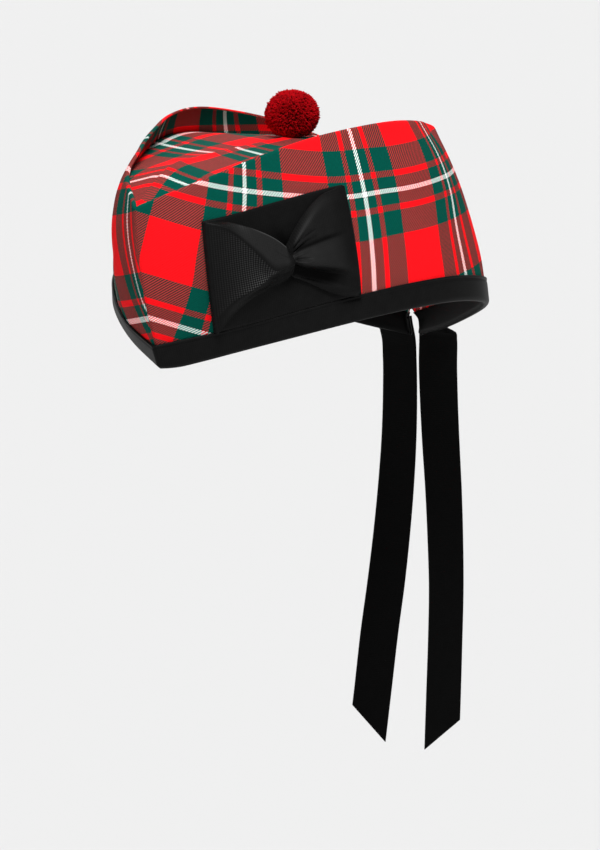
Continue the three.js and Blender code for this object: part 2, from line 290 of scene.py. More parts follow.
def ribbon_cloth(name, ribbed=False, colour=RIBBON_BLACK, shine=0.05):
    # black ribbon woven in ribs 0.85 mm apart, crossed by rows 0.9 mm apart
    made, nodes, link = material(name, colour, 0.48)
    do, along, across = cloth_place(nodes, link)
    rib = do("SINE", do("MULTIPLY", along, 2 * math.pi / 0.85))
    thread = do("SINE", do("MULTIPLY", across, 2 * math.pi / 0.9))
    height = do("ADD", do("MULTIPLY", rib, 0.5), do("MULTIPLY", thread, 0.22))
    # painted shade and light along the ribs and rows, over the ribbon's random tone
    shade = do("MULTIPLY_ADD", height, 0.3, do("MULTIPLY_ADD", unevenness(nodes, link, 260, 4), 0.6, 0.7))
    depth = 0.05
    if ribbed:
        # the face where the grosgrain's ribs and rows stand out as a grid of small dots, lightened there by
        # painted glints on the ribs
        where = knot(nodes, "ShaderNodeAttribute", attribute_name="ribbed")
        dots = do("MAXIMUM", do("ADD", do("MULTIPLY", rib, 0.75), do("MULTIPLY", thread, 0.75)), -0.4)
        shade = do("ADD", shade, do("MULTIPLY", do("MULTIPLY_ADD", dots, 6.6, 2.2), where.outputs["Fac"]))
        depth = 0.08
    # painted highlight where the ribbon's face catches the light, and painted shade where a fold shuts it out
    lit = knot(nodes, "ShaderNodeAttribute", attribute_name="sheen")
    shut = knot(nodes, "ShaderNodeAttribute", attribute_name="fold_depth")
    shade = do("MULTIPLY_ADD", lit.outputs["Fac"], 3.6, shade)
    shade = do("MULTIPLY", shade, do("MULTIPLY_ADD", shut.outputs["Fac"], -0.93, 1.0))
    dim = knot(nodes, "ShaderNodeHueSaturation")
    dim.inputs["Color"].default_value = (*colour, 1)
    link(shade, dim.inputs["Value"])
    skin = nodes["Principled BSDF"]
    link(dim.outputs["Color"], skin.inputs["Base Color"])
    skin.inputs["Specular IOR Level"].default_value = shine
    relief(nodes, link, height, 0.5, depth)
    return made


def yarn_wool(name):
    # painted shade: the yarn darkens from its clipped tips down into the ball; its tone differs at random
    # from tuft to tuft
    made, nodes, link = material(name, YARN_RED, 0.95)
    do = sums(nodes, link)
    tuft = knot(nodes, "ShaderNodeUVMap", uv_map="cloth")
    parts = knot(nodes, "ShaderNodeSeparateXYZ")
    link(tuft.outputs["UV"], parts.inputs[0])
    ramp = knot(nodes, "ShaderNodeValToRGB")
    for stop, colour, place in zip(ramp.color_ramp.elements, (YARN_PAINTED_SHADE, YARN_TIP), (0.76, 1.0)):
        stop.color = (*colour, 1)
        stop.position = place
    link(parts.outputs[1], ramp.inputs[0])
    dim = knot(nodes, "ShaderNodeHueSaturation")
    link(do("MULTIPLY_ADD", parts.outputs[0], 0.55, 0.70), dim.inputs["Value"])
    link(ramp.outputs["Color"], dim.inputs["Color"])
    skin = nodes["Principled BSDF"]
    link(dim.outputs["Color"], skin.inputs["Base Color"])
    skin.inputs["Sheen Weight"].default_value = 0.22
    skin.inputs["Sheen Roughness"].default_value = 0.45
    skin.inputs["Sheen Tint"].default_value = (1.0, 0.03, 0.05, 1)
    relief(nodes, link, unevenness(nodes, link, 3500), 0.5, 0.15)
    return made


# ---- The cap's shape, from the sections ----

def smooth(x):
    x = np.clip(x, 0, 1)
    return x * x * (3 - 2 * x)


def through(places, values, at):
    # smooth curve through a few fitted places, straight beyond them
    places, values, at = np.asarray(places, float), np.asarray(values, float), np.asarray(at, float)
    slopes = np.gradient(values, places)
    k = np.clip(np.searchsorted(places, at) - 1, 0, len(places) - 2)
    x0, x1 = places[k], places[k + 1]
    span = x1 - x0
    f = (at - x0) / span
    inside = np.clip(f, 0, 1)
    f2, f3 = inside ** 2, inside ** 3
    value = ((2 * f3 - 3 * f2 + 1) * values[k] + (f3 - 2 * f2 + inside) * slopes[k] * span
             + (3 * f2 - 2 * f3) * values[k + 1] + (f3 - f2) * slopes[k + 1] * span)
    before = np.where(f < 0, f * span * slopes[0], 0)
    beyond = np.where(f > 1, (f - 1) * span * slopes[-1], 0)
    return value + before + beyond


def rows_to(value, *pairs):
    # a smooth line through pairs of place and value
    places, values = zip(*pairs)
    return through(places, values, np.clip(value, places[0], places[-1]))


def column(name, share):
    # one column of the sections at a share of the way round, 0 at the front and 1 at the back
    rows = SECTIONS[:, COLUMNS.index(name)]
    last = len(rows) - 1
    place = np.clip(np.asarray(share, float), 0, 1) * last
    row = np.minimum(place.astype(int), last - 1)
    f = place - row
    run = np.concatenate(([2 * rows[0] - rows[1]], rows, [2 * rows[-1] - rows[-2]]))
    a, b, c, d = run[row], run[row + 1], run[row + 2], run[row + 3]
    f2, f3 = f * f, f * f * f
    return ((2 * f3 - 3 * f2 + 1) * b + (f3 - 2 * f2 + f) * (c - a) / 2
            + (3 * f2 - 2 * f3) * c + (f3 - f2) * (d - b) / 2)


def panel_height(share):
    return column("ridgeZ", share) - column("rimZ", share)


def straight_side(share, up):
    # a point on the straight line from the rim up to the ridge
    return np.stack([column("rim" + axis, share) * (1 - up) + column("ridge" + axis, share) * up
                     for axis in "XYZ"], -1)


def outward(share):
    # level direction out of the left panel, mitred at the two seams
    step = 0.01
    along = straight_side(np.minimum(share + step, 1), 0.4) - straight_side(np.maximum(share - step, 0), 0.4)
    along[..., 2] = 0
    along /= np.linalg.norm(along, axis=-1, keepdims=True)
    none = np.zeros_like(along[..., 0])
    square = np.stack([along[..., 1], -along[..., 0], none], -1)
    mitre = np.stack([none, -1 / along[..., 0], none], -1)
    near = np.clip(np.minimum(share, 1 - share) / 0.008, 0, 1)[..., None]
    return mitre * (1 - near) + square * near


def at_slit(x, share, height):
    # the back seam's two edges: open at the rim and closing above it, a little to the right
    half = 0.02 + rows_to(height, (0, 3.0), (2, 3.3), (5, 3.8), (7, 3.9), (9, 3.3), (11, 1.9), (12.5, 1.0),
                          (14.5, 0))
    return np.where(share > 0.9, np.maximum(x, half), np.maximum(x, 0.02))


def slit_shift(share, height):
    # how far the slit leans to the wearer's left
    lean = rows_to(height, (0, 2.2), (2, 2.25), (5, 2.2), (7, 2.0), (9, 1.15), (11, 0.2), (13, -0.3),
                   (18, -0.4), (26, 0))
    return lean * smooth((share - 0.93) / 0.06)


def ease(share, up, side):
    # how the worn wool stands off the sections: fuller at the back of the left side,
    # drawn in over the front of the right side
    if side > 0:
        return (1.5 * np.exp(-((share - 0.55) / 0.13) ** 2) * smooth((up - 0.35) / 0.5)
                + 0.9 * np.exp(-((share - 0.68) / 0.1) ** 2) * smooth(up / 0.3) * smooth((1 - up) / 0.4)
                - 1.7 * np.exp(-((share - 0.608) / 0.03) ** 2) * smooth((up - 0.85) / 0.15))
    top = rows_to(up, (0.5, 0), (0.6, 0.6), (0.67, 0.9), (0.75, 0.9), (0.83, 0.7), (0.89, 0.1), (0.93, -0.5),
                  (0.97, -1.5), (1, -2.2))
    return (top * np.exp(-((share - 0.125) / 0.075) ** 2)
            - 2.6 * np.exp(-((share - 0.40) / 0.13) ** 2) * (1 - smooth((up - 0.10) / 0.2)))


def on_side(share, height, offset=0.0, side=1):
    # a point on one side's outer face; side is 1 for the wearer's left and -1 for the right
    share, height, offset = np.broadcast_arrays(
        np.asarray(share, float), np.asarray(height, float), np.asarray(offset, float))
    up = height / panel_height(share)
    arch = 4 * up * (1 - up)
    out = column("full", share) * arch + offset + ease(share, up, side) * smooth(share / 0.03)
    point = straight_side(share, up) + outward(share) * out[..., None]
    point[..., 1] -= FRONT_CURVE * arch * np.exp(-(share / FRONT_REACH) ** 2)
    point[..., 0] = at_slit(point[..., 0], share, height)
    point = point * np.array((side, 1.0, 1.0))
    point[..., 0] += slit_shift(share, height)
    return point


# ---- Making a mesh ----

def piece_from(name, points, faces, corners, finish, slot, *nodes):
    # points in millimetres; corners holds one place on the cloth for each face corner, in millimetres
    mesh = bpy.data.meshes.new(name)
    mesh.from_pydata((np.asarray(points) * MM).tolist(), [], faces)
    mesh.uv_layers.new(name="cloth")
    mesh.uv_layers["cloth"].data.foreach_set("uv", (np.asarray(corners, float) * MM).ravel())
    mesh.materials.append(finish)
    mesh.shade_smooth()
    made = bpy.data.objects.new(name, mesh)
    bpy.context.collection.objects.link(made)
    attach(made, "root")
    if nodes:
        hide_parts(*nodes)
    return made


def net(points, cloth):
    # quads over a grid of points, with the cloth's place at each corner
    rows, cols = points.shape[:2]
    faces, corners = [], []
    for i in range(rows - 1):
        for j in range(cols - 1):
            ends = ((i, j), (i + 1, j), (i + 1, j + 1), (i, j + 1))
            faces.append([a * cols + b for a, b in ends])
            corners += [cloth[a][b] for a, b in ends]
    return faces, corners


def turned_over(faces, corners):
    # the same faces, seen from the other side
    turned, at = [], 0
    for face in faces:
        turned += corners[at:at + len(face)][::-1]
        at += len(face)
    return [face[::-1] for face in faces], turned


def finish_with(piece, kind, **settings):
    bpy.ops.object.select_all(action="DESELECT")
    bpy.context.view_layer.objects.active = piece
    piece.select_set(True)
    step = piece.modifiers.new(kind.lower(), kind)
    for key, value in settings.items():
        setattr(step, key, value)
    bpy.ops.object.modifier_apply(modifier=step.name)


# ---- Where the tartan lies on the cloth ----

def left_cloth(share, up):
    # white lines: three down the side, and one that falls back from the front and then rises again
    first = rows_to(up, (0, 0.087), (12, 0.097), (30, 0.114), (46, 0.1315), (59.3, 0.146), (76.3, 0.1595),
                    (90, 0.170))
    # towards the front seam the stripes lean forward at the bottom
    green_end = rows_to(up, (0, 0.008), (12.6, 0.029), (17.3, 0.038), (24.3, 0.051), (33.3, 0.0635),
                        (46.5, 0.0745), (57.3, 0.084), (66.2, 0.092), (90, 0.113))
    red_end = 0.0215 + 0.00103 * (up - 68.9)
    second = 0.350 + 0.00064 * (up - 33)
    third = rows_to(up, (0, 0.542), (10, 0.5425), (24, 0.546), (36, 0.555), (46, 0.5645), (56, 0.5685),
                    (64, 0.5685), (71, 0.565), (77, 0.560), (90, 0.550))
    early = (share - first) / (second - first)
    rest = (third - share) / (third - second)
    # the cloth is drawn together on both sides of the third line, more so towards the top
    drawn = rows_to(up, (8, 0), (33, 0.22), (45, 0.38), (56, 0.5), (70, 0.65), (90, 0.65))
    close = np.clip(rest, 0, 1)
    late = 2 - rest - drawn * close * (1 - close) ** 2
    past = rows_to(up, (12, -0.2), (38, 0.35), (48, 0.8), (59, 1.0), (72, 1.2), (90, 1.2))
    late = late + 0.15 * past * np.tanh(np.maximum(-rest, 0) / 0.15)
    blend = smooth((share - first) / (third - first))
    u = SETT * (early * (1 - blend) + late * blend)
    red_width = SETT - 2 * OUTER_GREEN
    fore = np.where(share < green_end, -OUTER_GREEN - red_width * (green_end - share) / (green_end - red_end),
                    -OUTER_GREEN * (first - share) / (first - green_end))
    u = np.where(share < first, fore, u)
    level = rows_to(share, (0, 91), (0.094, 75), (0.212, 60.4), (0.331, 51.2), (0.40, 50.0), (0.45, 49.6),
                    (0.5175, 51.0), (0.555, 52.9), (0.609, 56.3), (0.75, 62), (1, 64))
    scale = rows_to(share, (0, 1.01), (0.2, 1.01), (0.33, 1.08), (0.43, 1.145), (1, 1.145))
    return np.stack([u, (up - level) * scale], -1)


def right_cloth(share, height):
    # a white line near the front seam, leaning; counted from the back to the front, so that the
    # twill runs the same way on both sides
    white = 0.03 + rows_to(height, (0, -0.10), (30, -0.024), (45, -0.008), (55, 0), (80, 0.012))
    away = share - white
    u = SIDE_LENGTH * (away + 0.032 * np.tanh(away / 0.05))
    level = through((0, 0.1, 0.3, 0.5, 1), (91, 78.5, 60, 52, 52), share)
    return np.stack([-u, height - level], -1)


def right_inner_cloth(share, height):
    # on the far side's inner face the lines slant, and run level along the crown's seam
    u = SETT * (share - 0.378) / 0.226 + 0.85 * (height - 71)
    seam = panel_height(share) - column("well", share)
    above = rows_to(share, (0.5, 6.6), (0.55, 6.3), (0.62, 4.5), (0.7, 0.9), (0.8, 0.5))
    return np.stack([u, height - seam + above], -1)


# ---- Side panels ----


def side_panel(name, node, side, outer_cloth, inner_cloth, finish):
    # one ring of points for each section: up the outer face, over the turned ridge, down the inner face
    ends = np.array((0, 0.0012, 0.0026, 0.0042, 0.006))
    shares = np.concatenate((ends, np.linspace(0.0085, 0.9915, 230), (1 - ends)[::-1]))[:, None]
    tall = panel_height(shares)
    low = RIBBON + GAP
    half = WOOL / 2 + 0.15
    outer_height = low + (tall - half - low) * np.linspace(0, 1, 44)[None, :]
    swell = 0.25 * np.exp(-((tall - outer_height) / 3.5) ** 2)
    edge = np.minimum(shares, 1 - shares) * SIDE_LENGTH
    tuck = 0.7 * (1 - smooth(edge / 1.7))
    ripple = (0.22 * np.sin(shares * 41 + 0.05 * outer_height) * np.sin(outer_height * 0.055 + 9 * shares)
              * smooth((outer_height - 14) / 14) * smooth((tall - outer_height) / 16) * smooth(edge / 18))
    outer = on_side(shares, outer_height, swell - tuck + ripple, side)
    turn = np.linspace(0, math.pi, 9)[None, 1:-1]
    round_height = tall - half + half * np.sin(turn)
    round_offset = -WOOL / 2 + (half + 0.1) * np.cos(turn)
    ridge = on_side(shares, np.minimum(round_height, tall), round_offset - tuck, side)
    ridge[..., 2] += np.maximum(round_height - tall, 0)
    inner_height = outer_height[:, ::-1]
    inner = on_side(shares, inner_height, -WOOL - (swell - ripple)[:, ::-1], side)
    ring = np.concatenate((outer, ridge, inner), 1)
    # the outer cloth covers the turned edge
    cloth = np.concatenate((outer_cloth(shares + 0 * outer_height, outer_height),
                            outer_cloth(shares + 0 * turn, tall - half + half * turn),
                            inner_cloth(shares + 0 * inner_height, inner_height)), 1)
    rows, cols = ring.shape[:2]
    faces, corners = net(ring, cloth)
    # the lower edge, from the inner face round to the outer one
    for i in range(rows - 1):
        faces.append([i * cols + cols - 1, (i + 1) * cols + cols - 1, (i + 1) * cols, i * cols])
        corners += [cloth[i][-1], cloth[i + 1][-1], cloth[i + 1][-1], cloth[i][-1]]
    # the ends at the front and back seams
    for i, step in ((0, 1), (rows - 1, -1)):
        for j in range(cols // 2):
            k = cols - 1 - j
            end = [(i, j), (i, j + 1), (i, k - 1), (i, k)] if k - j > 2 else [(i, j), (i, j + 1), (i, k)]
            faces.append([a * cols + b for a, b in end[::step]])
            corners += [cloth[a][b] for a, b in end[::step]]
    if side < 0:
        faces, corners = turned_over(faces, corners)
    made = piece_from(name, ring.reshape(-1, 3), faces, corners, finish, "tartan_side", node)
    return made


# ---- Crown ----

def crown_edge(share, side):
    # where the crown is sewn to a side panel, below its ridge
    return on_side(share, panel_height(share) - column("well", share), -(WOOL - 0.2), side)


def crown_cloth(share, x, edge):
    # the cloth's lines across the crown, and how they slant on either half of it
    far = 0.264 - 0.0022 * (x + 4)
    near = 0.309 - 0.0012 * (x - 4)
    over = smooth((x + 4.5) / 4.5)
    slant = far * (1 - over) + near * over
    pull = (0.30 - slant) * smooth((share - 0.09) / 0.19)
    u = through((0.02, 0.082, 0.14, 0.2295, 0.2595, 0.30, 0.346, 0.3825, 0.6, 1),
                (-20.5, 0, 20.5, 47.3, 58.4, 67.8, 77.2, 88.3, 152, 272), share + pull)
    # the white line along the far half keeps 5 mm inside the seam
    white = -(np.maximum(edge, 49) - 5)
    left = 20.5 * (x - white) / (-16 - white)
    middle = 20.5 + (x + 16)
    right = 47.4 + (x - 4.5)
    v = np.where(x < -16, left, middle) * (1 - over) + right * over
    return np.stack([u, v], -1)


def crown_top(share, across):
    near, far = crown_edge(share, 1), crown_edge(share, -1)
    seam = np.where(across[..., None] < 0, far, near)
    crest = column("crest", share)
    reach = np.abs(across)
    z = seam[..., 2] + (crest - seam[..., 2]) * (1 - reach ** 0.8)
    x = reach * seam[..., 0]
    # the crest's soft fold leans over the far half
    broad = smooth((share - 0.05) / 0.1) * (1 - smooth((share - 0.75) / 0.2))
    z = z - 0.3 * broad * smooth(-x / 3.0) * np.exp(-np.maximum(-x - 3, 0) / 12)
    z = z + 0.25 * broad * np.exp(-((x - 0.8) / 1.6) ** 2)
    # it lies a little lower just behind the front seam
    z = z - np.exp(-((share - 0.085) / 0.05) ** 2 - ((x + 0.6) / 2.4) ** 2)
    return np.stack([x, seam[..., 1], z], -1)


def crown_piece(finish):
    # an upper and an under face, joined round the seam
    shares = np.linspace(0, 1, 200)[:, None]
    halves = np.linspace(0, 1, 33) ** 1.25
    across = np.concatenate((-halves[::-1], halves[1:]))[None, :]
    top = crown_top(shares + 0 * across, across + 0 * shares)
    under = top - np.array((0, 0, THICK["crown"]))
    cloth = crown_cloth(shares + 0 * across, top[..., 0], np.abs(top[:, :1, 0]))
    rows, cols = top.shape[:2]
    face_top, corners_top = net(top, cloth)
    face_under, corners_under = turned_over(face_top, corners_top)
    face_under = [[rows * cols + k for k in face] for face in face_under]
    rim, rim_corners = [], []
    loop = ([(i, 0) for i in range(rows)] + [(rows - 1, j) for j in range(1, cols)]
            + [(i, cols - 1) for i in range(rows - 2, -1, -1)] + [(0, j) for j in range(cols - 2, 0, -1)])
    for a, b in zip(loop, loop[1:] + loop[:1]):
        p, q = a[0] * cols + a[1], b[0] * cols + b[1]
        rim.append([q, p, rows * cols + p, rows * cols + q])
        rim_corners += [cloth[b], cloth[a], cloth[a], cloth[b]]
    points = np.concatenate((top.reshape(-1, 3), under.reshape(-1, 3)))
    made = piece_from("crown_cloth", points, face_top + face_under + rim,
                      corners_top + corners_under + rim_corners, finish, "tartan_crown", "crown")
    return made


# ---- Ribbons ----

def ribbon_body(name, middle, cloth, thick, finish, slot, node, tones=None):
    # a ribbon from its middle surface: a grid of points, thickened to both sides; tones are
    # numbers at those points that the ribbon's finish reads
    faces, corners = net(middle, cloth)
    made = piece_from(name, middle.reshape(-1, 3), faces, corners, finish, slot, node)
    for tone, values in (tones or {}).items():
        spots = made.data.attributes.new(tone, "FLOAT", "POINT").data
        spots.foreach_set("value", np.ravel(values).astype(float))
    finish_with(made, "SOLIDIFY", thickness=thick * MM, offset=0, use_even_offset=False)
    made.data.shade_smooth()
    return made


def band_piece(finish):
    # folded over the lower edge: down the outside, round below, and up the inside
    shares = np.linspace(0.004, 0.9925, 246)[:, None]
    outside = 0.15 + RIBBON / 2
    inside = -(WOOL + 0.15 + RIBBON / 2)
    mid, reach = (outside + inside) / 2, (outside - inside) / 2
    round_from = 2.1
    down = np.linspace(BAND_HEIGHT, round_from, 16)[None, :]
    stitch = -0.42 * np.exp(-((down - (BAND_HEIGHT - 1.3)) / 0.36) ** 2) * (down < BAND_HEIGHT - 0.2)
    turn = np.linspace(0, math.pi, 11)[None, 1:-1]
    height = np.concatenate((down, round_from - 1.6 * np.sin(turn), down[:, ::-1]), 1)
    offset = np.concatenate((outside + stitch, mid + reach * np.cos(turn), inside + 0 * down), 1)
    low = 1 - smooth(height / (BAND_HEIGHT - 2))
    # painted shade on its inner face, where little light reaches
    inner = 0.8 * smooth((mid - offset) / 1.2)
    # the last row closes the band's end over the cloth's edge at the back opening
    shares = np.concatenate((shares, shares[-1:] + 0.0025, shares[-1:] + 0.004))
    height, offset = [np.repeat(row, len(shares), 0) for row in (height, offset)]
    offset[-1] = mid + 0.4 * (offset[-1] - mid)
    left = on_side(shares, height, offset)
    # its lower edge hangs a little, most near the front, and not at the slit
    sag = rows_to(shares, (0, 0), (0.015, 0.8), (0.03, 1.25), (0.05, 1.2), (0.07, 1.05), (0.1, 0.8),
                  (0.2, 0.7), (0.9, 0.7))
    left[..., 2] -= sag * low * (1 - smooth((shares - 0.9) / 0.06))
    right = on_side(shares, height, offset, -1)
    nose = on_side(np.array([[0.0]]), height[:1], offset[:1])
    nose[..., 0] = 0
    run = np.concatenate((right[::-1], nose, left))
    along = np.concatenate((-shares[::-1, 0], [0], shares[:, 0])) * SIDE_LENGTH
    girth = np.concatenate(([0], np.cumsum(np.linalg.norm(np.diff(left[60], axis=0), axis=1))))
    cloth = np.stack(np.broadcast_arrays(along[:, None], girth[None, :]), -1)
    made = ribbon_body("band_ribbon", run, cloth, THICK["band"], finish, "band_ribbon", "band",
                       dict(fold_depth=np.repeat(inner, len(run), 0)))
    return made


def on_bow(along, height, lift):
    # a point near the left side panel, along and up from the bow's middle and off the cloth
    return on_side(BOW["share"] + along / SIDE_LENGTH, BOW["middle"] + height, lift)


def bow_backing(finish):
    over = np.linspace(0, 1, 70)[:, None, None]
    rise = np.linspace(0, 1, 50)[None, :, None]
    front_top, front_low, back_top, back_low = [np.array(c) for c in BOW_CORNERS.values()]
    lower_edge = front_low * (1 - over) + back_low * over
    upper_edge = front_top * (1 - over) + back_top * over
    place = lower_edge * (1 - rise) + upper_edge * rise
    along, height = place[..., 0], place[..., 1]
    # it dips a little towards the middle, where the wings are sewn down
    dip = 0.3 * np.exp(-(along / 9) ** 2 - ((height + 2) / 14) ** 2)
    edge = (smooth(np.minimum(rise, 1 - rise)[..., 0] / 0.025)
            * smooth(np.minimum(over, 1 - over)[..., 0] / 0.02))
    above_band = BAND_HEIGHT + 0.15 - BOW["middle"]
    middle = on_bow(along, np.maximum(height, above_band), BOW_GAP + 0.2 + 0.35 * edge - dip)
    # painted shade between the wings and under the pinch, where little light reaches
    wedge = (np.exp(-((along - 0.5 + 0.42 * (height - 2)) / 4.2) ** 2)
             * smooth((height - 1) / 2) * smooth((17 - height) / 10))
    under = np.exp(-(along / 5) ** 2 - ((height + 9) / 3.5) ** 2)
    tones = dict(fold_depth=0.85 * np.maximum(wedge, under))
    made = ribbon_body("bow_backing_ribbon", middle, place, THICK["backing"], finish,
                       "bow_ribbon", "bow_backing", tones)
    return made


def fold(along, height, line, rise, widths, window):
    # one soft fold: its ridge line, how high it stands, its width near and far, and where it fades
    ridge = rows_to(along, *line)
    wide = widths[0] + (widths[1] - widths[0]) * np.clip(along / 26, 0, 1)
    a, b, c, d = window
    fade = smooth((along - a) / (b - a)) * smooth((d - along) / (d - c))
    return rise * np.exp(-((height - ridge) / wide) ** 2) * fade


# gathers and creases that spread from the pinch of the back wing: a line of places along and
# up, how high it stands, its width near and far, and where along it fades in and out
BACK_WING_FOLDS = (
    (((0, 4.0), (1.5, 4.9), (6.8, 8.0), (14.2, 10.6)), 0.5, (0.7, 2.2), (0, 2, 10, 20)),
    (((0, 2.8), (5, 6.2), (12, 8.6), (20, 10.0)), -0.4, (0.6, 1.6), (1, 3, 10, 20)),
    (((0, 2.2), (5, 4.9), (11.5, 7.0), (17, 8.2)), 0.45, (0.6, 1.8), (1, 3, 11, 20)),
    (((0, 4.6), (5.8, 10.4), (14, 15.6), (22, 18.4)), 0.35, (0.9, 2.2), (0.5, 3, 14, 26)),
    (((0, -0.4), (4, 0.2), (9, 0.6)), 0.35, (0.5, 0.9), (0.5, 2, 5, 10)),
    (((1, 1.6), (4, 3.2), (8, 5.2)), -0.85, (0.45, 0.9), (0.8, 2, 5, 9.5)),
    (((1, 3.4), (5, 7.0), (9, 9.6)), -0.6, (0.45, 0.9), (0.8, 2, 5, 9.5)),
    (((1, -1.4), (4, -1.6), (8, -2.4)), -0.75, (0.45, 0.9), (0.8, 2, 5, 9.5)),
    (((2, -2.6), (6, -3.6), (10, -4.2)), 0.6, (0.45, 0.9), (0.8, 2, 5, 9.5)),
)


def front_wing_face(away, across):
    # the loop towards the front: a smooth roll along its top, then the ribbed face below the
    # crest, then the lower edge turned under; its rounded end covers the pinch
    top = rows_to(away, (-1, -2.1), (-0.5, 0.4), (0, 1.9), (1, 3.2), (2, 4.3), (6.8, 9.4),
                  (14, 15.4), (23.5, 21.4), (29.5, 23.6), (33, 24.4))
    low = rows_to(away, (-1, -2.3), (-0.5, -5.0), (0, -6.4), (1, -7.5), (5, -9.4), (12.8, -10.8),
                  (20.2, -13.2), (28.5, -19.2), (33, -24.2))
    crest = rows_to(away, (-1, -2.2), (0, -2.2), (6, -2.6), (11, -1.6), (15.5, 4.8), (19.5, 11.0),
                    (23.5, 16.6), (27.5, 20.8), (33, 23.6))
    height = low + (top - low) * (across + 1) / 2
    above = np.clip((top - height) / np.maximum(top - crest, 0.05), 0, 1)
    below = np.clip((crest - height) / np.maximum(crest - low, 0.05), 0, 1)
    # its woven edge stands off the backing between the pinch and the corner
    open_edge = 0.8 * smooth((away - 0.5) / 3) * smooth((27 - away) / 9)
    roll = open_edge + (1 - open_edge) * np.sin(math.pi / 2 * above) ** 0.9
    # below this line the ribbon turns under
    under = rows_to(away, (-1, -3.4), (0, -3.8), (6, -4.0), (9.5, -3.6), (13.8, -6.0), (20, -8.4),
                    (28, -12.4), (33, -18))
    face = 1 - 0.30 * np.sin(math.pi * np.clip(below / 0.8, 0, 1)) - 0.22 * below
    face = face * (1 - 0.82 * smooth((under + 0.6 - height) / (under + 0.6 - low)))
    shape = np.where(height > crest, roll, face)
    peak = rows_to(away, (-1, 0.3), (-0.5, 2.4), (0, 3.4), (2, 4.6), (6.5, 6.2), (13, 7.2), (21, 6.0),
                   (28, 3.4), (31, 1.8), (33, 0.5))
    lift = rows_to(away, (-1, 3.4), (0, 3.1), (10, 2.3), (26, 2.6), (33, 3.1)) + peak * shape
    lift = lift + fold(away, height, ((0, -3.6), (8, -6), (16, -8.6)), 0.5, (0.8, 1.6), (0.5, 3, 9, 17))
    lift = lift - fold(away, height, ((0, -1.0), (6, 2.6), (12, 8)), 0.45, (0.8, 1.2), (0.5, 3, 8, 14))
    # painted glints over the ribbed face below the crest, stronger towards the outer end and near the
    # turned-under line
    ribbed = (smooth(below / 0.05) * smooth((height - under) / 0.9)
              * smooth((away - 7) / 4) * smooth((WING_REACH - away) / 0.8))
    ribbed = ribbed * (height < crest) * (0.08 + 0.72 * smooth((WING_REACH - away) / 23))
    ribbed = ribbed * (0.8 + 0.6 * np.exp(-((height - under) / 4) ** 2))
    # the roll above the crest lies smooth and takes a painted highlight, and a painted highlight line runs
    # where its woven edge catches the light
    smooth_part = (smooth(above / 0.08) * smooth((1.02 - above) / 0.3)
                   * smooth((away - 1) / 3) * smooth((29 - away) / 10))
    edge = np.exp(-((top - height) / 0.45) ** 2) * smooth((away - 1) / 2) * smooth((21 - away) / 9)
    # painted shade where the ribbon turns under
    shut = smooth((under - height) / 1.5) * smooth((24 - away) / 14)
    tones = dict(ribbed=ribbed, sheen=0.5 * smooth_part + 2.6 * edge, fold_depth=0.75 * shut)
    return height, lift, tones


